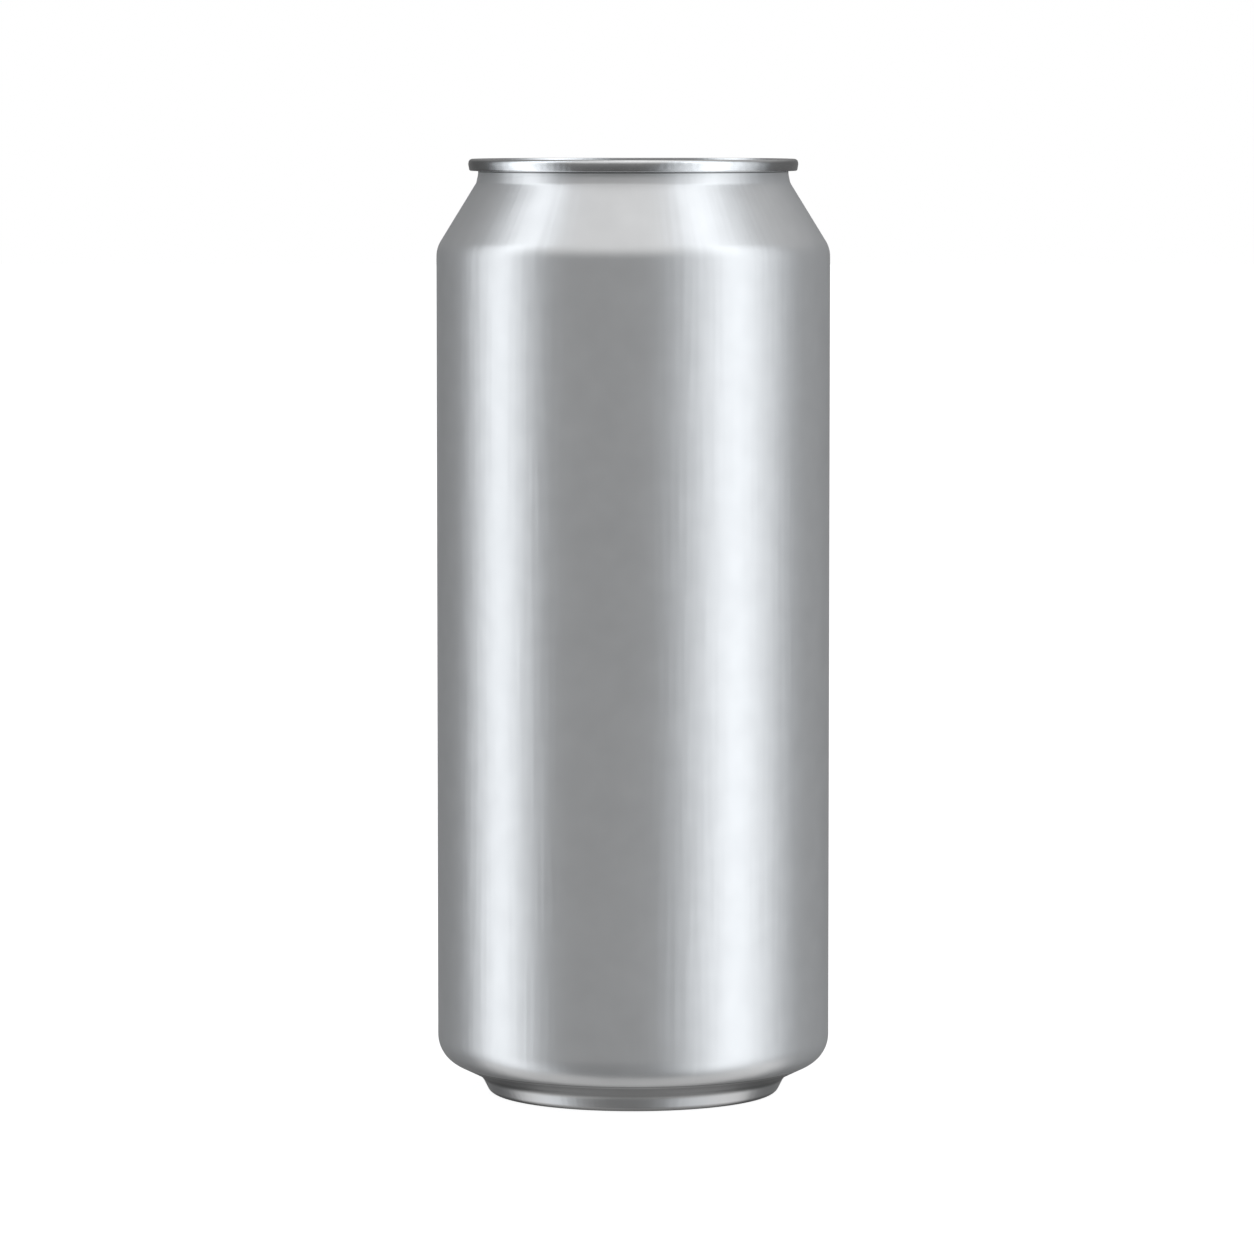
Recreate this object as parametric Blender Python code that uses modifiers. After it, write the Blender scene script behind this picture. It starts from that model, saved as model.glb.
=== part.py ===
"""A closed, unprinted 473 ml aluminium drink can with a stay-on tab.

Metres, +Z up. The origin is the centre of the base on the surface that the can stands on.
The pour opening faces -Y and the heel of the tab points to +Y.
The can is shut, so can_body is solid inside; can_end closes it and pull_tab sits on the end.
"""

import math

import bmesh
import bpy

# Driving dimensions of the drawn body
HEIGHT = 0.1574
BODY_RADIUS = 0.0330
NECK_RADIUS = 0.02614
SHOULDER_Z = 0.1425
NECK_SLOPE = math.radians(31.4)
SHOULDER_FILLET = 0.0050
NECK_FILLET = 0.0028

# Base: heel, chime cone, foot ring and the dome pushed up inside it
CHIME_SLOPE = math.radians(25.0)
CHIME_FOOT_RADIUS = 0.02565
CHIME_FOOT_Z = 0.00315
HEEL_FILLET = 0.0053
CHIME_FILLET = 0.0035
FOOT_OUTER_RADIUS = 0.0242
FOOT_INNER_RADIUS = 0.0220
FOOT_OUTER_FILLET = 0.0015
FOOT_INNER_FILLET = 0.0010
DOME_EDGE_RADIUS = 0.0212
DOME_EDGE_FILLET = 0.0014
DOME_DEPTH = 0.0100
DOME_CURVATURE = 0.0480

# Can end, with depths measured down from the top of the double seam
SEAM_RADIUS = 0.02775
SEAM_HEIGHT = 0.0023
SEAM_INNER_RADIUS = 0.0258
SEAM_TOP_FILLET = 0.0007
SEAM_LOW_FILLET = 0.0004
CHUCK_TOP_RADIUS = 0.02545
CHUCK_LOW_RADIUS = 0.0242
COUNTERSINK_DEPTH = 0.0067
COUNTERSINK_INNER_RADIUS = 0.0230
COUNTERSINK_FILLET = 0.00045
PANEL_RADIUS = 0.0224
PANEL_DEPTH = 0.0046
PANEL_FILLET = 0.0006
END_WALL = 0.00025
END_FLOOR_DEPTH = 0.0072
BODY_LIP = 0.0002

# Recess pressed in the centre panel, the finger well below the tab and the pour-panel bead
RECESS_DEPTH = 0.00035
RECESS_FRONT_RADIUS = 0.0145
RECESS_FRONT_Y = -0.0064
RECESS_BACK_RADIUS = 0.0098
RECESS_BACK_Y = 0.0087
WELL_DEPTH = 0.0008
WELL_WIDTH = 0.0100
WELL_LENGTH = 0.0060
WELL_Y = 0.0108
POUR_Y = -0.0118
POUR_HALF_WIDTH = 0.0108
POUR_HALF_LENGTH = 0.0083
SCORE_WIDTH = 0.0004
SCORE_DEPTH = 0.00015
POUR_BEAD_INSET = 0.0021
POUR_BEAD_RADIUS = 0.0004
POUR_BEAD_REACH = math.radians(92)

# Rivet, formed from the panel, and the tab that it holds
RIVET_HEAD_RADIUS = 0.0025
RIVET_SHANK_RADIUS = 0.0016
RIVET_HEAD_HEIGHT = 0.0005
TAB_NOSE_Y = -0.0082
TAB_HEEL_Y = 0.0166
TAB_WIDTH = 0.0156
TAB_NOSE_CORNER = 0.0070
TAB_HEEL_CORNER = 0.0060
TAB_RIM_HEIGHT = 0.0014
TAB_RIM_WIDTH = 0.0023
TAB_EDGE = 0.00045
TAB_WEB = 0.00045
TAB_WEB_LIFT = 0.0001
HOLE_WIDTH = 0.0106
HOLE_FRONT_Y = 0.0064
HOLE_BACK_Y = 0.0143
HOLE_CORNER = 0.0037
WINDOW_BACK_Y = 0.0048
WINDOW_CORNER = 0.0030
LANCE_INNER_RADIUS = 0.0033
LANCE_WIDTH = 0.0007
LANCE_HALF_ANGLE = math.radians(115)

CLEARANCE = 0.0003
TURN_STEPS = 52
ARC_STEP = math.radians(15)
DOME_STEP = math.radians(4.5)
SHARP_ANGLE = math.radians(40)
MERGE = 0.00005


def clear_scene():
    for obj in list(bpy.data.objects):
        bpy.data.objects.remove(obj, do_unlink=True)


def new_collection(name):
    collection = bpy.data.collections.new(name)
    bpy.context.scene.collection.children.link(collection)
    return collection


def aluminium(name, colour, roughness):
    material = bpy.data.materials.new(name)
    material.use_nodes = True
    shader = material.node_tree.nodes["Principled BSDF"]
    shader.inputs["Base Color"].default_value = (*colour, 1)
    shader.inputs["Roughness"].default_value = roughness
    shader.inputs["Metallic"].default_value = 1
    return material


def arc(centre, radius, start, turn, step=ARC_STEP):
    """Points on a circle from the angle start, through the angle turn, both ends included."""
    steps = max(1, math.ceil(abs(turn) / step - 1e-6))
    angles = [start + turn * i / steps for i in range(steps + 1)]
    return [(centre[0] + radius * math.cos(a), centre[1] + radius * math.sin(a)) for a in angles]


def rounded(corners, closed=False):
    """The outline through corners (x, y, fillet radius), each corner replaced by its tangent arc."""
    points = []
    count = len(corners)
    for i, (x, y, fillet) in enumerate(corners):
        if not fillet or (not closed and i in (0, count - 1)):
            points.append((x, y))
            continue
        before = corners[i - 1]
        after = corners[(i + 1) % count]
        come = math.atan2(y - before[1], x - before[0])
        go = math.atan2(after[1] - y, after[0] - x)
        turn = (go - come + math.pi) % (2 * math.pi) - math.pi
        side = math.copysign(1, turn)
        back = fillet * math.tan(abs(turn) / 2)
        start_x = x - back * math.cos(come)
        start_y = y - back * math.sin(come)
        centre = (start_x - side * fillet * math.sin(come), start_y + side * fillet * math.cos(come))
        points += arc(centre, fillet, come - side * math.pi / 2, turn)
    return points


def turned(name, profile, collection, z=0.0):
    """A solid of revolution about Z from a profile of (radius, height) that runs down its outer side."""
    mesh = bpy.data.meshes.new(name)
    edges = [(i, i + 1) for i in range(len(profile) - 1)]
    mesh.from_pydata([(r, 0, h) for r, h in profile], edges, [])
    obj = bpy.data.objects.new(name, mesh)
    obj.location.z = z
    collection.objects.link(obj)
    screw = obj.modifiers.new("turn", "SCREW")
    screw.steps = TURN_STEPS
    screw.render_steps = TURN_STEPS
    screw.use_merge_vertices = True
    screw.merge_threshold = MERGE
    return obj


def as_mesh(curve_object, collection):
    """A mesh object in place of a curve object, with its loose caps welded to its sides."""
    graph = bpy.context.evaluated_depsgraph_get()
    mesh = bpy.data.meshes.new_from_object(curve_object.evaluated_get(graph))
    shape = bmesh.new()
    shape.from_mesh(mesh)
    bmesh.ops.remove_doubles(shape, verts=shape.verts, dist=MERGE / 10)
    bmesh.ops.recalc_face_normals(shape, faces=shape.faces)
    shape.to_mesh(mesh)
    shape.free()
    mesh.shade_smooth()
    mesh.set_sharp_from_angle(angle=SHARP_ANGLE)
    name = curve_object.name
    place = curve_object.matrix_world.copy()
    bpy.data.objects.remove(curve_object, do_unlink=True)
    obj = bpy.data.objects.new(name, mesh)
    obj.matrix_world = place
    collection.objects.link(obj)
    return obj


def add_spline(curve, points, closed=True):
    spline = curve.splines.new("POLY")
    spline.points.add(len(points) - 1)
    for point, (x, y) in zip(spline.points, points):
        point.co = (x, y, 0, 1)
    spline.use_cyclic_u = closed


def plate(name, outlines, low, high, collection, edge=0.0):
    """A flat plate between two heights: the first outline is its edge and the others are holes in it."""
    curve = bpy.data.curves.new(name, "CURVE")
    curve.dimensions = "2D"
    curve.fill_mode = "BOTH"
    curve.extrude = (high - low) / 2 - edge
    curve.bevel_depth = edge
    curve.bevel_resolution = 1
    curve.offset = -edge
    for outline in outlines:
        add_spline(curve, outline)
    obj = bpy.data.objects.new(name, curve)
    obj.location.z = (low + high) / 2
    collection.objects.link(obj)
    bpy.context.view_layer.update()
    return as_mesh(obj, collection)


def rod(name, points, radius, z, collection):
    """A round bead along a flat path at the height z, with closed ends."""
    curve = bpy.data.curves.new(name, "CURVE")
    curve.dimensions = "3D"
    curve.bevel_depth = radius
    curve.bevel_resolution = 1
    curve.use_fill_caps = True
    add_spline(curve, points, closed=False)
    obj = bpy.data.objects.new(name, curve)
    obj.location.z = z
    collection.objects.link(obj)
    bpy.context.view_layer.update()
    return as_mesh(obj, collection)


def combine(obj, other, operation):
    other.hide_render = True
    other.display_type = "WIRE"
    boolean = obj.modifiers.new(other.name, "BOOLEAN")
    boolean.object = other
    boolean.operation = operation


def box_outline(half_width, front, back, front_corner, back_corner):
    """A rounded rectangle, anticlockwise, with one radius at its front corners and one at its back."""
    return rounded(
        [
            (-half_width, front, front_corner),
            (half_width, front, front_corner),
            (half_width, back, back_corner),
            (-half_width, back, back_corner),
        ],
        closed=True,
    )


def egg_outline(front_y, front_radius, back_y, back_radius):
    """Two circles on the Y axis joined by their common tangents, anticlockwise."""
    lean = math.asin((front_radius - back_radius) / (back_y - front_y))
    front = arc((0, front_y), front_radius, math.pi - lean, math.pi + 2 * lean)
    back = arc((0, back_y), back_radius, lean, math.pi - 2 * lean)
    return front + back


def circle_outline(radius):
    return arc((0, 0), radius, 0, 2 * math.pi)[:-1]


def lance_outline():
    """The C-shaped slot round the back of the rivet, between two arcs."""
    start = math.pi / 2 - LANCE_HALF_ANGLE
    turn = 2 * LANCE_HALF_ANGLE
    outer = arc((0, 0), LANCE_INNER_RADIUS + LANCE_WIDTH, start, turn)
    inner = arc((0, 0), LANCE_INNER_RADIUS, start + turn, -turn)
    return outer + inner


def body_profile():
    lip_z = HEIGHT - SEAM_HEIGHT - CLEARANCE
    floor_z = HEIGHT - END_FLOOR_DEPTH - CLEARANCE
    floor_radius = CHUCK_LOW_RADIUS + 2 * END_WALL + CLEARANCE
    neck_z = SHOULDER_Z + (BODY_RADIUS - NECK_RADIUS) / math.tan(NECK_SLOPE)
    heel_z = CHIME_FOOT_Z + (BODY_RADIUS - CHIME_FOOT_RADIUS) * math.tan(CHIME_SLOPE)
    dome_reach = math.asin(DOME_EDGE_RADIUS / DOME_CURVATURE)
    dome_centre = (0, DOME_DEPTH - DOME_CURVATURE)
    dome = arc(dome_centre, DOME_CURVATURE, math.pi / 2 - dome_reach, dome_reach, DOME_STEP)
    return rounded(
        [
            (0, floor_z, 0),
            (floor_radius, floor_z, 0),
            (NECK_RADIUS - BODY_LIP, lip_z, 0),
            (NECK_RADIUS, lip_z, 0),
            (NECK_RADIUS, neck_z, NECK_FILLET),
            (BODY_RADIUS, SHOULDER_Z, SHOULDER_FILLET),
            (BODY_RADIUS, heel_z, HEEL_FILLET),
            (CHIME_FOOT_RADIUS, CHIME_FOOT_Z, CHIME_FILLET),
            (FOOT_OUTER_RADIUS, 0, FOOT_OUTER_FILLET),
            (FOOT_INNER_RADIUS, 0, FOOT_INNER_FILLET),
            (*dome[0], DOME_EDGE_FILLET),
        ]
        + [(*point, 0) for point in dome[1:]]
    )


def end_profile():
    recess = -PANEL_DEPTH - RECESS_DEPTH
    head_low = recess + CLEARANCE + TAB_WEB_LIFT + TAB_WEB + CLEARANCE
    head_top = head_low + RIVET_HEAD_HEIGHT
    outer_top = CHUCK_TOP_RADIUS + END_WALL
    outer_low = CHUCK_LOW_RADIUS + 2 * END_WALL
    return rounded(
        [
            (0, head_top, 0),
            (RIVET_HEAD_RADIUS, head_top, RIVET_HEAD_HEIGHT / 2),
            (RIVET_HEAD_RADIUS, head_low, 0),
            (RIVET_SHANK_RADIUS, head_low, 0),
            (RIVET_SHANK_RADIUS, -PANEL_DEPTH, 0),
            (PANEL_RADIUS, -PANEL_DEPTH, PANEL_FILLET),
            (COUNTERSINK_INNER_RADIUS, -COUNTERSINK_DEPTH, COUNTERSINK_FILLET),
            (CHUCK_LOW_RADIUS, -COUNTERSINK_DEPTH, COUNTERSINK_FILLET),
            (CHUCK_TOP_RADIUS, -SEAM_HEIGHT, 0),
            (SEAM_INNER_RADIUS, 0, SEAM_TOP_FILLET),
            (SEAM_RADIUS, 0, SEAM_TOP_FILLET),
            (SEAM_RADIUS, -SEAM_HEIGHT, SEAM_LOW_FILLET),
            (outer_top, -SEAM_HEIGHT, 0),
            (outer_low, -END_FLOOR_DEPTH, 0),
            (0, -END_FLOOR_DEPTH, 0),
        ]
    )


def pour_ellipse(inset, reach=math.pi, steps=36):
    """Points on the pour panel's ellipse, inset, out to the angle reach each side of its front."""
    across = POUR_HALF_WIDTH - inset
    along = POUR_HALF_LENGTH - inset
    angles = [reach * (2 * i / steps - 1) for i in range(steps + 1)]
    return [(across * math.sin(a), POUR_Y - along * math.cos(a)) for a in angles]


def well_outline():
    front = WELL_Y - WELL_LENGTH / 2
    return box_outline(WELL_WIDTH / 2, front, front + WELL_LENGTH, WELL_LENGTH / 2.05, WELL_LENGTH / 2.05)


def make_body(collection):
    body = turned("can_body", body_profile(), collection)
    body.data.materials.append(aluminium("satin_body", (0.80, 0.81, 0.83), 0.32))
    return body


def make_end(collection, cutters):
    end = turned("can_end", end_profile(), collection, HEIGHT)
    end.data.materials.append(aluminium("rolled_end", (0.82, 0.83, 0.84), 0.22))
    panel_z = HEIGHT - PANEL_DEPTH
    recess_z = panel_z - RECESS_DEPTH
    egg = egg_outline(RECESS_FRONT_Y, RECESS_FRONT_RADIUS, RECESS_BACK_Y, RECESS_BACK_RADIUS)
    rivet = circle_outline(RIVET_SHANK_RADIUS + CLEARANCE)
    above = panel_z + RECESS_DEPTH / 2
    recess = plate("panel_recess", [egg, rivet], recess_z, above, cutters)
    combine(end, recess, "DIFFERENCE")
    well = plate("finger_well", [well_outline()], recess_z - WELL_DEPTH, above, cutters)
    combine(end, well, "DIFFERENCE")
    loop = [pour_ellipse(0)[:-1], pour_ellipse(SCORE_WIDTH)[:-1]]
    score = plate("pour_score", loop, recess_z - SCORE_DEPTH, above, cutters)
    combine(end, score, "DIFFERENCE")
    bead_path = pour_ellipse(POUR_BEAD_INSET, POUR_BEAD_REACH, steps=18)
    bead = rod("pour_bead", bead_path, POUR_BEAD_RADIUS, recess_z, cutters)
    combine(end, bead, "UNION")
    return end


def make_tab(collection, cutters):
    low = HEIGHT - PANEL_DEPTH - RECESS_DEPTH + CLEARANCE
    half = TAB_WIDTH / 2
    outer = box_outline(half, TAB_NOSE_Y, TAB_HEEL_Y, TAB_NOSE_CORNER, TAB_HEEL_CORNER)
    hole = box_outline(HOLE_WIDTH / 2, HOLE_FRONT_Y, HOLE_BACK_Y, HOLE_CORNER, HOLE_CORNER)
    window_half = half - TAB_RIM_WIDTH
    window_front = TAB_NOSE_Y + TAB_RIM_WIDTH
    window = box_outline(window_half, window_front, WINDOW_BACK_Y, WINDOW_CORNER, WINDOW_CORNER)
    tab = plate("pull_tab", [outer, hole, window], low, low + TAB_RIM_HEIGHT, collection, TAB_EDGE)
    overlap = TAB_RIM_WIDTH / 2
    seat_back = WINDOW_BACK_Y + overlap / 2
    seat = box_outline(window_half + overlap, window_front - overlap, seat_back, WINDOW_CORNER, WINDOW_CORNER)
    rivet_hole = circle_outline(RIVET_SHANK_RADIUS + CLEARANCE)
    web_low = low + TAB_WEB_LIFT
    web = plate("tab_web", [seat, rivet_hole, lance_outline()], web_low, web_low + TAB_WEB, cutters)
    combine(tab, web, "UNION")
    tab.data.materials.clear()
    tab.data.materials.append(aluminium("bright_tab", (0.84, 0.85, 0.86), 0.2))
    return tab


def main():
    clear_scene()
    parts = new_collection("beverage_can")
    cutters = new_collection("cutters")
    cutters.hide_render = True
    make_body(parts)
    make_end(parts, cutters)
    make_tab(parts, cutters)


main()
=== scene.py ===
"""A closed, unprinted 473 ml aluminium drink can: its metal surfaces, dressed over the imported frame.

Metres, +Z up, origin under the middle of the base. The pour opening faces -Y.
"""

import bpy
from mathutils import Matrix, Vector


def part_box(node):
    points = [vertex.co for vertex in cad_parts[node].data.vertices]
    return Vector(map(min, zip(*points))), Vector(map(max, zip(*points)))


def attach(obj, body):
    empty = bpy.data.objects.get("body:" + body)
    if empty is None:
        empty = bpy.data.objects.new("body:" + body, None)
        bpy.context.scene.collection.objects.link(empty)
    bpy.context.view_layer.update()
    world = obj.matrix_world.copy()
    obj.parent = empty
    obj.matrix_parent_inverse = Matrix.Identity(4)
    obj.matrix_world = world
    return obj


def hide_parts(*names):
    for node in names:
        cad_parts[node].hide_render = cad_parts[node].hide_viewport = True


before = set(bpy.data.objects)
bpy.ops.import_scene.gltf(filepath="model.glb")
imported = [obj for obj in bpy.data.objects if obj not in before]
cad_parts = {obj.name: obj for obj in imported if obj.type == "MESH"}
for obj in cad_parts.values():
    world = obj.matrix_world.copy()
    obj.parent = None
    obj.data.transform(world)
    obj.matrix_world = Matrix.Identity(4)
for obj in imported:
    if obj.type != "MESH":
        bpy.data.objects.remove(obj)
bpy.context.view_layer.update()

import math

import bmesh
import bpy
import numpy as np
from mathutils import Vector


# ---------------------------------------------------------------------------------------------
# The studio: a plain white floor, a long lens a little above the rim of the can, and soft light.
# Two tall soft boxes stand at the sides and a broad one hangs overhead. Between and behind them
# the room is dim, which gives the metal its dark middle and its two bright upright bands.

CAMERA_DISTANCE = 1.0963
CAMERA_HEIGHT = 0.1652
AIM_X = -0.00105
AIM_Z = 0.07872
LENS_MM = 187.4
FLOOR_HALF = 6.0
PAPER_WHITE = (1.0, 1.0, 1.0, 1.0)
FLOOR_GLOW = 0.90
FLOOR_PAINT = 0.35

# Each tall box: the azimuth of its middle, half its width and the softness of its edges, then its
# power. Each fades out between two elevations at its bottom and at its top, and gains in between
LEFT_BOX = (math.radians(-84), math.radians(12), math.radians(34))
RIGHT_BOX = (math.radians(62), math.radians(14), math.radians(50))
LEFT_POWER = 2.2
RIGHT_POWER = 2.3
BOX_BOTTOM = (math.radians(-80), math.radians(-26))
LEFT_TOP = (math.radians(90), math.radians(44))
RIGHT_TOP = (math.radians(90), math.radians(55))
BOX_RISE = (math.radians(5), math.radians(40))
BOX_RISE_GAIN = 0.18
BOX_TINT = (0.92, 0.96, 1.0)
ROOM_TINT = (1.0, 1.0, 1.0)

# The room: how bright it is at eye level, what it gains overhead and again at the zenith, and what
# it loses underfoot. Beside and behind the can it loses a share on the left and on the right, more
# of it overhead, and gets it back towards the azimuth that lies straight behind
ROOM_DIM = 0.172
OVERHEAD = (math.radians(5), math.radians(50))
OVERHEAD_POWER = 0.53
ZENITH = (math.radians(63), math.radians(76))
ZENITH_POWER = 0.36
BEHIND = (math.radians(64), math.radians(106))
BEHIND_LOSS = (0.52, 0.32)
OVERHEAD_FADE = 1.55
BACK_FILL = (math.radians(145), math.radians(180))
FLOOR_DIP = (math.radians(-4), math.radians(-32))
FLOOR_DIP_LOSS = 0.42

# The lit strip of table underfoot, from side to side: its front and back edges as the direction's
# Y, how its back edge leans, how far down it starts, its power and what it gains to the sides
STRIP_FRONT = (-0.40, 0.05)
STRIP_BACK = (0.58, 0.82)
STRIP_LEAN = 0.40
STRIP_DEPTH = (0.30, 0.65)
STRIP_POWER = 0.30
STRIP_SIDES = 0.45


class Value:
    """A socket of a node tree. Arithmetic on it adds Math nodes, so a pattern reads as a formula."""

    def __init__(self, tree, socket=None):
        self.tree = tree
        self.socket = socket

    def node(self, kind, settings, inputs, output=0):
        """A node of this kind, its settings made first and then its sockets set or linked."""
        made = self.tree.nodes.new(kind)
        for name, setting in settings.items():
            setattr(made, name, setting)
        for key, given in inputs.items():
            if isinstance(given, Value):
                self.tree.links.new(given.socket, made.inputs[key])
            else:
                made.inputs[key].default_value = given
        return Value(self.tree, made.outputs[output] if made.outputs else None)

    def math(self, operation, *values):
        """The result of a Math node on these values."""
        return self.node("ShaderNodeMath", {"operation": operation}, dict(enumerate(values)))

    def vector(self, operation, inputs):
        """The result of a Vector Math node on these inputs."""
        return self.node("ShaderNodeVectorMath", {"operation": operation}, inputs)

    def parts(self):
        """The three parts of a vector, as values."""
        made = self.node("ShaderNodeSeparateXYZ", {}, {0: self}).socket.node
        return [Value(self.tree, socket) for socket in made.outputs]

    def ease(self, low, high):
        """0 at low and 1 at high, with a smooth rise between them. Low may be the larger."""
        if low > high:
            return 1 - self.ease(high, low)
        inputs = {"Value": self, "From Min": low, "From Max": high}
        return self.node("ShaderNodeMapRange", {"interpolation_type": "SMOOTHSTEP"}, inputs)

    def band(self, centre, half, soft):
        """1 near centre, falling smoothly to 0 from half less soft to half plus soft away from it."""
        return (self - centre).math("ABSOLUTE", self - centre).ease(half + soft, half - soft)

    def __add__(self, other):
        return self.math("ADD", self, other)

    def __radd__(self, other):
        return self.math("ADD", other, self)

    def __sub__(self, other):
        return self.math("SUBTRACT", self, other)

    def __rsub__(self, other):
        return self.math("SUBTRACT", other, self)

    def __mul__(self, other):
        return self.math("MULTIPLY", self, other)

    def __rmul__(self, other):
        return self.math("MULTIPLY", other, self)


def light_the_studio():
    """Light by direction: a dim room, brighter overhead and on the table, and two soft bands.

    What the camera sees past the can is plain white.
    """
    world = bpy.data.worlds.new("studio")
    world.use_nodes = True
    world.node_tree.nodes.clear()
    start = Value(world.node_tree)
    x, y, z = start.node("ShaderNodeTexCoord", {}, {}, "Generated").parts()
    azimuth = start.math("ARCTAN2", x, 0 - y)
    elevation = start.math("ARCSINE", z)
    left = azimuth.band(*LEFT_BOX) * elevation.ease(*LEFT_TOP) * LEFT_POWER
    right = azimuth.band(*RIGHT_BOX) * elevation.ease(*RIGHT_TOP) * RIGHT_POWER
    boxes = (left + right) * (1 + elevation.ease(*BOX_RISE) * BOX_RISE_GAIN)
    boxes = boxes * elevation.ease(*BOX_BOTTOM)
    overhead = elevation.ease(*OVERHEAD) * OVERHEAD_POWER
    side = x.math("ABSOLUTE", x)
    strip = y.ease(*STRIP_FRONT) * (1 - (y + side * STRIP_LEAN).ease(*STRIP_BACK))
    strip = strip * (0 - z).ease(*STRIP_DEPTH) * (STRIP_POWER + side * STRIP_SIDES)
    dim = ROOM_DIM * (1 - elevation.ease(*FLOOR_DIP) * FLOOR_DIP_LOSS)
    behind = (0 - azimuth).ease(*BEHIND) * BEHIND_LOSS[0] + azimuth.ease(*BEHIND) * BEHIND_LOSS[1]
    behind = behind * (1 - azimuth.math("ABSOLUTE", azimuth).ease(*BACK_FILL))
    zenith = elevation.ease(*ZENITH) * ZENITH_POWER
    room = overhead * (1 - behind * OVERHEAD_FADE) + zenith + dim * (1 - behind) + strip
    glow = boxes.vector("SCALE", {0: BOX_TINT, "Scale": boxes})
    fill = boxes.vector("SCALE", {0: ROOM_TINT, "Scale": room})
    light = boxes.vector("MAXIMUM", {0: glow, 1: fill})
    seen = start.node("ShaderNodeLightPath", {}, {}, "Is Camera Ray")
    shown = start.node("ShaderNodeMix", {"data_type": "RGBA"}, {0: seen, 6: light, 7: PAPER_WHITE}, 2)
    lit = start.node("ShaderNodeBackground", {}, {"Color": shown, "Strength": 1.0})
    start.node("ShaderNodeOutputWorld", {}, {"Surface": lit})
    bpy.context.scene.world = world


def lay_the_floor():
    """A wide white sheet that glows a little, so that it runs into the backdrop with no horizon."""
    half = FLOOR_HALF
    corners = [(-half, -half, 0), (half, -half, 0), (half, half, 0), (-half, half, 0)]
    mesh = bpy.data.meshes.new("floor")
    mesh.from_pydata(corners, [], [(0, 1, 2, 3)])
    floor = bpy.data.objects.new("floor", mesh)
    bpy.context.scene.collection.objects.link(floor)
    paper = bpy.data.materials.new("floor_paper")
    paper.use_nodes = True
    paper.node_tree.nodes.clear()
    start = Value(paper.node_tree)
    white = (FLOOR_PAINT, FLOOR_PAINT, FLOOR_PAINT, 1)
    matt = start.node("ShaderNodeBsdfDiffuse", {}, {"Color": white})
    glow = start.node("ShaderNodeEmission", {}, {"Color": PAPER_WHITE, "Strength": FLOOR_GLOW})
    both = start.node("ShaderNodeAddShader", {}, {0: matt, 1: glow})
    start.node("ShaderNodeOutputMaterial", {}, {"Surface": both})
    mesh.materials.append(paper)
    floor.visible_diffuse = False
    floor.visible_glossy = False
    floor.visible_shadow = False


def place_the_camera():
    """A long lens in front of the can, at -Y, turned to its aim."""
    lens = bpy.data.cameras.new("camera")
    lens.lens = LENS_MM
    camera = bpy.data.objects.new("camera", lens)
    camera.location = (0, -CAMERA_DISTANCE, CAMERA_HEIGHT)
    sight = Vector((AIM_X, 0, AIM_Z)) - camera.location
    camera.rotation_euler = sight.to_track_quat("-Z", "Y").to_euler()
    bpy.context.scene.collection.objects.link(camera)
    bpy.context.scene.camera = camera


light_the_studio()
lay_the_floor()
place_the_camera()
bpy.context.scene.view_settings.view_transform = "Standard"


# ---------------------------------------------------------------------------------------------
# The body: one cup of aluminium sheet, drawn and ironed to a thin straight wall, necked in at
# the top and folded at the bottom into a chime, a foot ring and a dome. The wall is varnished and
# satin, with the fine upright lines that the ironing rings leave, and the base is bare.

body_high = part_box("can_body")[1]
end_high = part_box("can_end")[1]
BODY_RADIUS = body_high[0]
TOP = end_high[2]
SEAM_HEIGHT = 0.0020
SEAM_FOOT = TOP - SEAM_HEIGHT

NECK_RADIUS = 0.0260
SHOULDER_Z = 0.1425
NECK_BAND_TOP_Z = 0.1548
NECK_BAND_LOW_Z = 0.1534
NECK_BAND_LEAN = 0.0003
SHOULDER_FILLET = 0.0050
NECK_FILLET = 0.0030
NECK_BAND_FILLET = 0.0015
NECK_TUCK = 0.0004
CHIME_SLOPE = math.radians(25.9)
CHIME_FOOT_RADIUS = 0.02572
CHIME_FOOT_Z = 0.0030
HEEL_FILLET = 0.0053
CHIME_FILLET = 0.0030
FOOT_OUTER_RADIUS = 0.0242
FOOT_INNER_RADIUS = 0.0220
FOOT_OUTER_FILLET = 0.0015
FOOT_INNER_FILLET = 0.0010
DOME_EDGE_RADIUS = 0.0212
DOME_EDGE_FILLET = 0.0014
DOME_DEPTH = 0.0100
DOME_CURVATURE = 0.0480
DOME_JOIN = 0.9
DOME_JOIN_RISE = 0.00089
DOME_ROWS = 20
BODY_FLOOR_Z = 0.1497
BODY_FLOOR_RADIUS = 0.0250
BODY_COLUMNS = 288
BODY_SPACING = 0.0012
BODY_ARC_STEP = math.radians(4)
MERGE = 1e-7

BODY_COLOUR = (0.87, 0.87, 0.87)
BODY_ROUGHNESS = 0.28
BODY_METALLIC = 0.62
BARE_METALLIC = 0.88
BARE_BASE = (0.0075, 0.0042)

# Swells to the metre of the lines, the broader bands among them and the patches, then the height
# of the relief and the change of tone that they make, and the body's share of lines and patches
LINE_SCALE = 1100.0
BAND_SCALE = 420.0
PATCH_SCALE = 200.0
NOISE_ROUGHNESS = 0.5
UPRIGHT_SQUEEZE = 0.05
LINE_HEIGHT = 14.0e-6
PATCH_HEIGHT = 36.0e-6
PATCH_TONE = 0.10
BODY_GRAIN = (1.0, 1.0)

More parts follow.
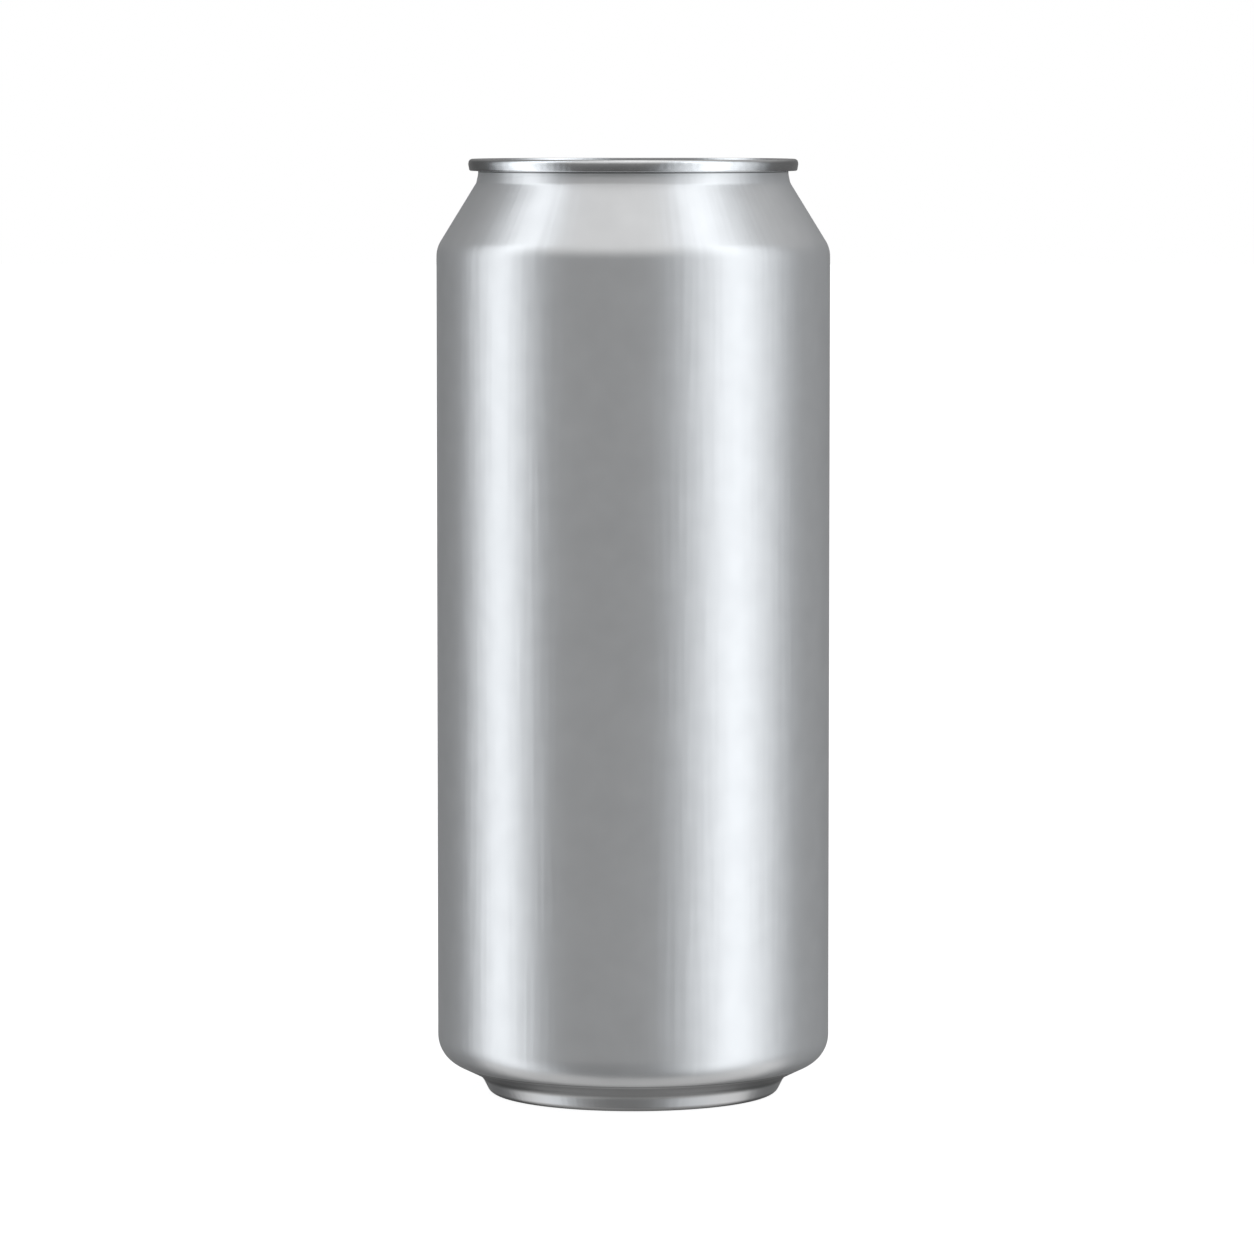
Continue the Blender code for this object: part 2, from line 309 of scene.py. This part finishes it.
# Painted shade in rings where the can shades itself: the fold over the foot, the fine line over the
# fold and the line under the seam, each as middle, half and softness of its height, and the foot
# darkening towards the table
FOLD = (0.0036, 0.0011, 0.0004)
FOLD_SHADE = 0.62
FOLD_LINE = (0.00490, 0.00012, 0.00010)
FOLD_LINE_SHADE = 0.50
SEAM_LINE = (SEAM_FOOT - 0.00010, 0.00012, 0.00010)
SEAM_LINE_SHADE = 0.75
FOOT_EDGE = (0.0010, 0.0003)
FOOT_SHADE = 0.62


def rounded(corners, spacing, arc_step):
    """The profile through corners (radius, height, fillet), as an array of points.

    Each corner is replaced by the arc that touches both of its sides, at its fillet radius, cut
    into equal turns no larger than the arc step. The straight runs between arcs are cut into
    equal steps no longer than the spacing.
    """
    corners = np.array(corners, float)
    pieces = [corners[:1, :2]]
    for before, here, after in zip(corners[:-2], corners[1:-1], corners[2:]):
        come = math.atan2(here[1] - before[1], here[0] - before[0])
        go = math.atan2(after[1] - here[1], after[0] - here[0])
        turn = (go - come + math.pi) % (2 * math.pi) - math.pi
        side = math.copysign(1, turn)
        fillet = here[2]
        start = here[:2] - fillet * math.tan(abs(turn) / 2) * np.array([math.cos(come), math.sin(come)])
        centre = start + side * fillet * np.array([-math.sin(come), math.cos(come)])
        steps = math.ceil(abs(turn) / arc_step) if fillet else 0
        angle = come - side * math.pi / 2 + turn * np.linspace(0, 1, steps + 1)
        pieces.append(centre + fillet * np.stack([np.cos(angle), np.sin(angle)], axis=1))
    pieces.append(corners[-1:, :2])
    points = [pieces[0]]
    for last, piece in zip(pieces[:-1], pieces[1:]):
        gap = np.linalg.norm(piece[0] - last[-1])
        share = np.linspace(0, 1, max(1, math.ceil(gap / spacing)) + 1)[1:-1, None]
        points.append(last[-1] * (1 - share) + piece[0] * share)
        points.append(piece)
    return np.concatenate(points)


def turned(profile, columns):
    """The grid swept by a profile about Z: radius and height by row, and the angle by column."""
    angle = 2 * math.pi * np.arange(columns) / columns
    radius, height = profile[:, :1], profile[:, 1:]
    return np.stack(
        [radius * np.cos(angle), radius * np.sin(angle), height + 0 * angle], axis=2
    )


def skin(name, grids, node, ring=False):
    """One smooth mesh of closed grids, which replaces a node of the frame and rides on the can.

    The columns of each grid join up, and its rows run from pole to pole, or join up too in a
    ring. Points that fall together, as at a pole, become one.
    """
    places, faces, count = [], [], 0
    for grid in grids:
        rows, columns = grid.shape[:2]
        index = count + np.arange(rows * columns).reshape(rows, columns)
        below = np.roll(index, -1, axis=0) if ring else index[1:]
        above = index if ring else index[:-1]
        quads = np.stack([above, below, np.roll(below, -1, axis=1), np.roll(above, -1, axis=1)], axis=2)
        places.append(grid.reshape(-1, 3))
        faces.append(quads.reshape(-1, 4))
        count += rows * columns
    mesh = bpy.data.meshes.new(name)
    mesh.from_pydata(np.concatenate(places).tolist(), [], np.concatenate(faces).tolist())
    shape = bmesh.new()
    shape.from_mesh(mesh)
    bmesh.ops.remove_doubles(shape, verts=shape.verts, dist=MERGE)
    shape.to_mesh(mesh)
    shape.free()
    mesh.shade_smooth()
    piece = bpy.data.objects.new(name, mesh)
    bpy.context.scene.collection.objects.link(piece)
    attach(piece, "root")
    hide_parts(node)
    return piece


def body_grid():
    """The body's profile turned about Z: neck, wall, chime, foot and dome.

    The profile starts on the axis under the end, where it is hidden, and runs down the outside.
    The dome is an arc of a circle about the axis, and the last straight run leads into it.
    """
    heel_z = CHIME_FOOT_Z + (BODY_RADIUS - CHIME_FOOT_RADIUS) * math.tan(CHIME_SLOPE)
    reach = math.asin(DOME_EDGE_RADIUS / DOME_CURVATURE)
    edge_z = DOME_DEPTH - DOME_CURVATURE * (1 - math.cos(reach))
    outside = rounded(
        [
            (0, BODY_FLOOR_Z, 0),
            (BODY_FLOOR_RADIUS, BODY_FLOOR_Z, 0),
            (NECK_RADIUS - NECK_TUCK, SEAM_FOOT + NECK_TUCK, 0),
            (NECK_RADIUS, SEAM_FOOT + NECK_TUCK, 0),
            (NECK_RADIUS, NECK_BAND_TOP_Z, NECK_FILLET),
            (NECK_RADIUS + NECK_BAND_LEAN, NECK_BAND_LOW_Z, NECK_BAND_FILLET),
            (BODY_RADIUS, SHOULDER_Z, SHOULDER_FILLET),
            (BODY_RADIUS, heel_z, HEEL_FILLET),
            (CHIME_FOOT_RADIUS, CHIME_FOOT_Z, CHIME_FILLET),
            (FOOT_OUTER_RADIUS, 0, FOOT_OUTER_FILLET),
            (FOOT_INNER_RADIUS, 0, FOOT_INNER_FILLET),
            (DOME_EDGE_RADIUS, edge_z, DOME_EDGE_FILLET),
            (DOME_JOIN * DOME_EDGE_RADIUS, edge_z + DOME_JOIN_RISE, 0),
        ],
        BODY_SPACING,
        BODY_ARC_STEP,
    )
    angle = reach * np.linspace(DOME_JOIN, 0, DOME_ROWS)
    dome = np.stack(
        [DOME_CURVATURE * np.sin(angle), DOME_DEPTH - DOME_CURVATURE * (1 - np.cos(angle))], axis=1
    )
    return turned(np.concatenate([outside[:-1], dome]), BODY_COLUMNS)


def noise(place, scale, detail):
    """Noise about zero over a place vector, with this many swells to the metre."""
    inputs = {"Vector": place, "Scale": scale, "Detail": detail, "Roughness": NOISE_ROUGHNESS}
    return place.node("ShaderNodeTexNoise", {}, inputs, "Fac") - 0.5


def metal(name, colour, roughness, metallic, drawn_from, grain, painted_shade=None):
    """Aluminium sheet: reflective, with fine lines the way it was drawn and faint patches.

    The lines are noise over the place that drawn_from gives, squeezed along the drawing. Lines and
    patches are a relief of a few micrometres, times the two shares of the grain, and the patches
    vary the tone a little. How metallic it is may be a number or a function of the place, and
    painted shade, if it is given, is a darker tone worked out from the place.
    """
    lines, patches = grain
    material = bpy.data.materials.new(name)
    material.use_nodes = True
    tree = material.node_tree
    tree.nodes.clear()
    start = Value(tree)
    place = start.node("ShaderNodeTexCoord", {}, {}, "Object")
    drawn = drawn_from(place)
    line = noise(drawn, LINE_SCALE, 0.0) + noise(drawn, BAND_SCALE, 0.0)
    patch = noise(place, PATCH_SCALE, 1.0)
    height = line * (lines * LINE_HEIGHT) + patch * (patches * PATCH_HEIGHT)
    bump = start.node("ShaderNodeBump", {}, {"Strength": 1.0, "Distance": 1.0, "Height": height})
    tone = 1 + patch * (patches * PATCH_TONE)
    # Painted shade: the tone is darkened where the can shades itself.
    if painted_shade:
        tone = tone * painted_shade(place)
    tint = tone.vector("SCALE", {0: colour, "Scale": tone})
    if callable(metallic):
        metallic = metallic(place)
    surface = {"Base Color": tint, "Roughness": roughness, "Metallic": metallic, "Normal": bump}
    shader = start.node("ShaderNodeBsdfPrincipled", {}, surface)
    start.node("ShaderNodeOutputMaterial", {}, {"Surface": shader})
    return material


def up_the_wall(place):
    """The place on a straight wall round the axis, squeezed in height, so lines run up the can."""
    flat = place.vector("MULTIPLY", {0: place, 1: (1, 1, 0)})
    ring = flat.vector("NORMALIZE", {0: flat})
    wall = ring.vector("SCALE", {0: ring, "Scale": BODY_RADIUS})
    rise = place.vector("MULTIPLY", {0: place, 1: (0, 0, UPRIGHT_SQUEEZE)})
    return wall.vector("ADD", {0: wall, 1: rise})


def bare_base(place):
    """How metallic the body is by height: the wall is varnished, and the base is bare."""
    bare = place.parts()[2].ease(*BARE_BASE)
    return BODY_METALLIC + bare * (BARE_METALLIC - BODY_METALLIC)


def painted_shade_rings(place):
    """The tone by height: painted shade, darker in rings round the can where the can shades itself."""
    height = place.parts()[2]
    fold = (1 - height.band(*FOLD) * FOLD_SHADE) * (1 - height.band(*FOLD_LINE) * FOLD_LINE_SHADE)
    seam = 1 - height.band(*SEAM_LINE) * SEAM_LINE_SHADE
    return fold * seam * (1 - height.ease(*FOOT_EDGE) * FOOT_SHADE)


body = skin("drawn_body", [body_grid()], "can_body")
# The body's tone carries painted shade in rings: over the fold, under the seam and at the foot's lower
# edge.
body.data.materials.append(
    metal("satin_body", BODY_COLOUR, BODY_ROUGHNESS, bare_base, up_the_wall, BODY_GRAIN, painted_shade_rings)
)


# ---------------------------------------------------------------------------------------------
# The end: a disc of harder sheet, pressed with a sunken panel and a countersink groove, its
# rim rolled over the neck of the body into a double seam. The pour panel is scored and beaded,
# and the rivet that holds the tab is drawn up out of the panel itself.

END_COLUMNS = 352
PANEL_SPACING = 0.0002
RIM_SPACING = 0.0008
END_ARC_STEP = math.radians(10)
SEAM_INSET = 0.0001
SEAM_RADIUS = end_high[0] - SEAM_INSET
SEAM_INNER_RADIUS = 0.0258
SEAM_INNER_FILLET = 0.0001
SEAM_TOP_FILLET = 0.00066
SEAM_LOW_FILLET = 0.00032
SEAM_CROWN = 0.45
SEAM_CROWN_FILLET = 0.0012
SEAM_TOP_LEAN = 0.00012
SEAM_LOW_LEAN = 0.00020
CHUCK_TOP_RADIUS = 0.0257
CHUCK_LOW_RADIUS = 0.0242
CHUCK_FILLET = 0.0020
COUNTERSINK_DEPTH = 0.0067
COUNTERSINK_INNER_RADIUS = 0.0230
COUNTERSINK_FILLET = 0.00055
PANEL_RADIUS = 0.0224
PANEL_DEPTH = 0.0046
PANEL_FILLET = 0.0006
PANEL_TOLERANCE = 1e-6
END_WALL = 0.00025
END_FLOOR_DEPTH = 0.0072

RECESS_DEPTH = 0.00035
RECESS_SOFT = 0.0005
RECESS_FRONT = (0.0145, -0.0064)
RECESS_BACK = (0.0098, 0.0087)
WELL_DEPTH = 0.0008
WELL_MIDDLE = (0.0, 0.0108)
WELL_HALF = (0.0054, 0.0034)
WELL_SLOPE = (0.55, 1.15)
POUR_Y = -0.0118
POUR_HALF = (0.0106, 0.0081)
SCORE_DEPTH = 0.00013
SCORE_WIDTH = 0.00016
SECOND_SCORE_INSET = 0.0008
SECOND_SCORE_SHARE = 0.6
BEAD_INSET = 0.0022
BEAD_HEIGHT = 0.00032
BEAD_WIDTH = 0.00042
BEAD_REACH = math.radians(92)
BEAD_FADE = 0.1
TINY = 1e-9

RIVET_HEAD_RADIUS = 0.0025
RIVET_SHANK_RADIUS = 0.0016
RIVET_HEAD_HEIGHT = 0.0005
RIVET_HEAD_TOP_FILLET = 0.000225
RIVET_HEAD_LOW_FILLET = 0.00015
RIVET_SHANK_TOP_FILLET = 0.0001
RIVET_SHANK_LOW_FILLET = 0.0003
RIVET_DIMPLE = 0.00022
RIVET_DIMPLE_LOW_RADIUS = 0.001125
RIVET_DIMPLE_LOW_FILLET = 0.0006
RIVET_DIMPLE_TOP_RADIUS = 0.00155
RIVET_DIMPLE_TOP_FILLET = 0.0004
TAB_WEB = 0.00045
TAB_WEB_LIFT = 0.0001
CLEARANCE = 0.0003

END_COLOUR = (0.87, 0.875, 0.88)
END_ROUGHNESS = 0.20
END_METALLIC = 1.0
END_GRAIN = (1.5, 0.6)
ROLLED_SQUEEZE = 0.04


def ease(value, low, high):
    """0 at low and 1 at high, with a smooth rise between them."""
    share = np.clip((value - low) / (high - low), 0, 1)
    return share * share * (3 - 2 * share)


def egg_distance(x, y):
    """Distance to an egg outline, negative inside: two circles on Y and their common tangents."""
    (front_radius, front_y), (back_radius, back_y) = RECESS_FRONT, RECESS_BACK
    length = back_y - front_y
    lean = (front_radius - back_radius) / length
    rise = math.sqrt(1 - lean * lean)
    along = y - front_y
    across = np.abs(x)
    side = along * rise - across * lean
    front = np.hypot(across, along) - front_radius
    back = np.hypot(across, along - length) - back_radius
    tangent = across * rise + along * lean - front_radius
    return np.where(side < 0, front, np.where(side > rise * length, back, tangent))


def pour_distance(x, y, inset):
    """Rough distance to the pour panel's ellipse, inset, negative inside: level over gradient."""
    half_x, half_y = POUR_HALF[0] - inset, POUR_HALF[1] - inset
    level = np.hypot(x / half_x, (y - POUR_Y) / half_y) + TINY
    slope = np.hypot(x / half_x**2, (y - POUR_Y) / half_y**2) / level + TINY
    return (level - 1) / slope


def panel_relief(x, y):
    """Height pressed into the flat panel at x, y.

    A soft-edged step down into the egg-shaped recess, a dished finger well, two score lines as
    narrow grooves along the pour panel's edge, and a rounded bead along an arc inside them.
    """
    step = -RECESS_DEPTH * ease(-egg_distance(x, y), -RECESS_SOFT, RECESS_SOFT)
    well = np.hypot((x - WELL_MIDDLE[0]) / WELL_HALF[0], (y - WELL_MIDDLE[1]) / WELL_HALF[1])
    dish = -WELL_DEPTH * (1 - ease(well, *WELL_SLOPE))
    score = np.exp(-((pour_distance(x, y, 0) / SCORE_WIDTH) ** 2))
    second = np.exp(-((pour_distance(x, y, SECOND_SCORE_INSET) / SCORE_WIDTH) ** 2))
    scores = -SCORE_DEPTH * (score + SECOND_SCORE_SHARE * second)
    swing = np.abs(np.arctan2(x / POUR_HALF[0], -(y - POUR_Y) / POUR_HALF[1]))
    ridge = np.exp(-((pour_distance(x, y, BEAD_INSET) / BEAD_WIDTH) ** 2))
    bead = BEAD_HEIGHT * ridge * (1 - ease(swing, BEAD_REACH - BEAD_FADE, BEAD_REACH + BEAD_FADE))
    return step + dish + scores + bead


def end_grid():
    """The end's closed section turned about Z, with the panel's relief pressed into it.

    The section runs in depths under the top: out from the rivet over the panel to the bottom of
    the countersink groove, up the chuck wall, over the seam, and back to the axis underneath.
    """
    web_z = -PANEL_DEPTH - RECESS_DEPTH + CLEARANCE
    head_low = web_z + TAB_WEB_LIFT + TAB_WEB + CLEARANCE
    head_top = head_low + RIVET_HEAD_HEIGHT
    groove_radius = (COUNTERSINK_INNER_RADIUS + CHUCK_LOW_RADIUS) / 2
    pressed = rounded(
        [
            (0, head_top - RIVET_DIMPLE, 0),
            (RIVET_DIMPLE_LOW_RADIUS, head_top - RIVET_DIMPLE, RIVET_DIMPLE_LOW_FILLET),
            (RIVET_DIMPLE_TOP_RADIUS, head_top, RIVET_DIMPLE_TOP_FILLET),
            (RIVET_HEAD_RADIUS, head_top, RIVET_HEAD_TOP_FILLET),
            (RIVET_HEAD_RADIUS, head_low, RIVET_HEAD_LOW_FILLET),
            (RIVET_SHANK_RADIUS, head_low, RIVET_SHANK_TOP_FILLET),
            (RIVET_SHANK_RADIUS, -PANEL_DEPTH, RIVET_SHANK_LOW_FILLET),
            (PANEL_RADIUS, -PANEL_DEPTH, PANEL_FILLET),
            (COUNTERSINK_INNER_RADIUS, -COUNTERSINK_DEPTH, COUNTERSINK_FILLET),
            (groove_radius, -COUNTERSINK_DEPTH, 0),
        ],
        PANEL_SPACING,
        END_ARC_STEP,
    )
    rim_and_underside = rounded(
        [
            (groove_radius, -COUNTERSINK_DEPTH, 0),
            (CHUCK_LOW_RADIUS, -COUNTERSINK_DEPTH, COUNTERSINK_FILLET),
            (CHUCK_TOP_RADIUS, -SEAM_HEIGHT, CHUCK_FILLET),
            (SEAM_INNER_RADIUS, 0, SEAM_INNER_FILLET),
            (SEAM_RADIUS - SEAM_TOP_LEAN, 0, SEAM_TOP_FILLET),
            (SEAM_RADIUS, -SEAM_CROWN * SEAM_HEIGHT, SEAM_CROWN_FILLET),
            (SEAM_RADIUS - SEAM_LOW_LEAN, -SEAM_HEIGHT, SEAM_LOW_FILLET),
            (NECK_RADIUS - END_WALL, -SEAM_HEIGHT, 0),
            (CHUCK_LOW_RADIUS + 2 * END_WALL, -END_FLOOR_DEPTH, 0),
            (0, -END_FLOOR_DEPTH, 0),
        ],
        RIM_SPACING,
        END_ARC_STEP,
    )
    section = np.concatenate([pressed[:-1], rim_and_underside])
    grid = turned(section + [0, TOP], END_COLUMNS)
    level = np.abs(section[:, 1] + PANEL_DEPTH) < PANEL_TOLERANCE
    on_panel = level & (section[:, 0] > RIVET_SHANK_RADIUS)
    grid[on_panel, :, 2] += panel_relief(grid[on_panel, :, 0], grid[on_panel, :, 1])
    return grid


def along_the_sheet(place):
    """The place squeezed along Y, so that the rolling lines run straight across the disc."""
    return place.vector("MULTIPLY", {0: place, 1: (1, ROLLED_SQUEEZE, 1)})


end = skin("seamed_end", [end_grid()], "can_end")
end.data.materials.append(
    metal("rolled_end", END_COLOUR, END_ROUGHNESS, END_METALLIC, along_the_sheet, END_GRAIN)
)


# ---------------------------------------------------------------------------------------------
# The tab: a strip of sheet blanked and curled under all round into a stiff round rim, with a
# finger hole at its heel, also curled. A flat web carries the rivet's island, which a C-shaped
# slot frees at the back so that the tab can lift while its nose presses on the pour panel.

tab_low, tab_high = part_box("pull_tab")
TAB_HALF = tab_high[0]
TAB_NOSE_Y = tab_low[1]
TAB_HEEL_Y = tab_high[1]
TAB_BASE = tab_low[2]
TAB_TOP = tab_high[2]
NOSE_CORNER = 0.0070
HEEL_CORNER = 0.0060
RIM_WIDTH = 0.0019
HOLE_HALF = 0.0053
HOLE_FRONT_Y = 0.0064
HOLE_BACK_Y = 0.0143
HOLE_CORNER = 0.0037
HOLE_RIM_WIDTH = 0.0013
HOLE_RIM_HEIGHT = 0.0011
WINDOW_CORNER = 0.0030
WINDOW_BACK_Y = 0.0048
LANCE_INNER_RADIUS = 0.0033
LANCE_WIDTH = 0.0007
RIVET_HOLE_RADIUS = 0.0019
BRIDGE_HALF_ANGLE = math.radians(65)
BRIDGE_EDGE = 0.06
BRIDGE_DROP = 0.00003
PLATE_LAP = 0.0006
HEEL_PLATE = (0.0002, 0.0008)
OUTLINE_POINTS = 240
CORNER_POINTS = 41
LENGTH_NUDGE = 1e-12
SECTION_POINTS = 24
SECTION_OVAL = 0.85
PLATE_POINTS = 10

TAB_COLOUR = (0.88, 0.885, 0.89)
TAB_ROUGHNESS = 0.22
TAB_METALLIC = 1.0
TAB_GRAIN = (1.2, 0.6)


def outline(half, front, back, front_corner, back_corner):
    """Points at equal steps round a rounded rectangle, anticlockwise, with their outward normals.

    The four corner arcs and the four sides are laid end to end, and the whole length is divided
    evenly. On an arc the normal turns with the angle, and on a side it stays square to it. The
    length is nudged so that it always grows, also where an arc has no side after it.
    """
    centres = np.array(
        [
            (half - front_corner, front + front_corner),
            (half - back_corner, back - back_corner),
            (-half + back_corner, back - back_corner),
            (-half + front_corner, front + front_corner),
        ]
    )
    radii = np.array([front_corner, back_corner, back_corner, front_corner])
    turns = math.pi / 2 * np.arange(-1, 3)
    fine = np.linspace(0, math.pi / 2, CORNER_POINTS)
    angle = (turns[:, None] + fine).ravel()
    normal = np.stack([np.cos(angle), np.sin(angle)], axis=1)
    corner = np.repeat(centres, len(fine), axis=0) + np.repeat(radii, len(fine))[:, None] * normal
    closed = np.concatenate([corner, corner[:1]])
    angles = np.append(angle, angle[0] + 2 * math.pi)
    length = np.concatenate([[0], np.cumsum(np.linalg.norm(np.diff(closed, axis=0), axis=1))])
    length += LENGTH_NUDGE * np.arange(len(length))
    at = np.linspace(0, length[-1], OUTLINE_POINTS, endpoint=False)
    place = np.stack([np.interp(at, length, closed[:, i]) for i in range(2)], axis=1)
    facing = np.interp(at, length, angles)
    return place, np.stack([np.cos(facing), np.sin(facing)], axis=1)


def curl(path, width, low, high, inward=True):
    """A rolled rim along a path: an upright oval section, set in, or else out, by half its width.

    The section is an ellipse whose cosine and sine are raised to a power a little under one.
    """
    place, normal = path
    side = -1 if inward else 1
    turn = 2 * math.pi * np.arange(SECTION_POINTS) / SECTION_POINTS
    lobe = np.sign(np.cos(turn)) * np.abs(np.cos(turn)) ** SECTION_OVAL
    rise = np.sign(np.sin(turn)) * np.abs(np.sin(turn)) ** SECTION_OVAL
    out = (width / 2) * (lobe[:, None] + side)
    plan = place[None] + out[..., None] * normal[None]
    height = (low + high) / 2 - (high - low) / 2 * rise[:, None] + 0 * plan[..., 0]
    return np.concatenate([plan, height[..., None]], axis=2)


def web(inner, outer, low, high):
    """A flat plate between two outlines with the same number of points, closed all round."""
    across = np.linspace(0, 1, PLATE_POINTS)
    share = np.concatenate([across, across[::-1]])[:, None, None]
    height = np.repeat([high, low], PLATE_POINTS)[:, None] + np.zeros(len(inner))
    plan = outer[None] * share + inner[None] * (1 - share)
    return np.concatenate([plan, height[..., None]], axis=2)[::-1]


def circle(radius):
    """Points at equal steps round a circle, anticlockwise from -Y. The radius may vary by point."""
    angle = 2 * math.pi * np.arange(OUTLINE_POINTS) / OUTLINE_POINTS - math.pi / 2
    return np.stack([radius * np.cos(angle), radius * np.sin(angle)], axis=1)


def island_edge():
    """The radius of the rivet's island by point: wider towards the nose, where it joins the web."""
    swing = 2 * math.pi * np.arange(OUTLINE_POINTS) / OUTLINE_POINTS
    swing = np.minimum(swing, 2 * math.pi - swing)
    joined = 1 - ease(swing, BRIDGE_HALF_ANGLE - BRIDGE_EDGE, BRIDGE_HALF_ANGLE + BRIDGE_EDGE)
    return LANCE_INNER_RADIUS + (LANCE_WIDTH + PLATE_LAP) * joined


def tab_grids():
    """The curled rim and finger hole, the heel's plate, and the web round the rivet's island."""
    rim = outline(TAB_HALF, TAB_NOSE_Y, TAB_HEEL_Y, NOSE_CORNER, HEEL_CORNER)
    hole = outline(HOLE_HALF, HOLE_FRONT_Y, HOLE_BACK_Y, HOLE_CORNER, HOLE_CORNER)
    half = TAB_HALF - RIM_WIDTH + PLATE_LAP
    front = TAB_NOSE_Y + RIM_WIDTH - PLATE_LAP
    back = TAB_HEEL_Y - RIM_WIDTH + PLATE_LAP
    window = outline(half, front, WINDOW_BACK_Y, WINDOW_CORNER, PLATE_LAP)
    heel = outline(half, WINDOW_BACK_Y - PLATE_LAP / 2, back, PLATE_LAP, HEEL_CORNER - RIM_WIDTH)
    web_low = TAB_BASE + TAB_WEB_LIFT
    web_top = web_low + TAB_WEB
    heel_low, heel_top = TAB_BASE + HEEL_PLATE[0], TAB_BASE + HEEL_PLATE[1]
    island_low, island_top = web_low + BRIDGE_DROP, web_top - BRIDGE_DROP
    return [
        curl(rim, RIM_WIDTH, TAB_BASE, TAB_TOP),
        curl(hole, HOLE_RIM_WIDTH, TAB_BASE, TAB_BASE + HOLE_RIM_HEIGHT, inward=False),
        web(hole[0] + PLATE_LAP * hole[1], heel[0], heel_low, heel_top),
        web(circle(LANCE_INNER_RADIUS + LANCE_WIDTH), window[0], web_low, web_top),
        web(circle(RIVET_HOLE_RADIUS), circle(island_edge()), island_low, island_top),
    ]


tab = skin("stay_on_tab", tab_grids(), "pull_tab", ring=True)
tab.data.materials.append(
    metal("bright_tab", TAB_COLOUR, TAB_ROUGHNESS, TAB_METALLIC, along_the_sheet, TAB_GRAIN)
)
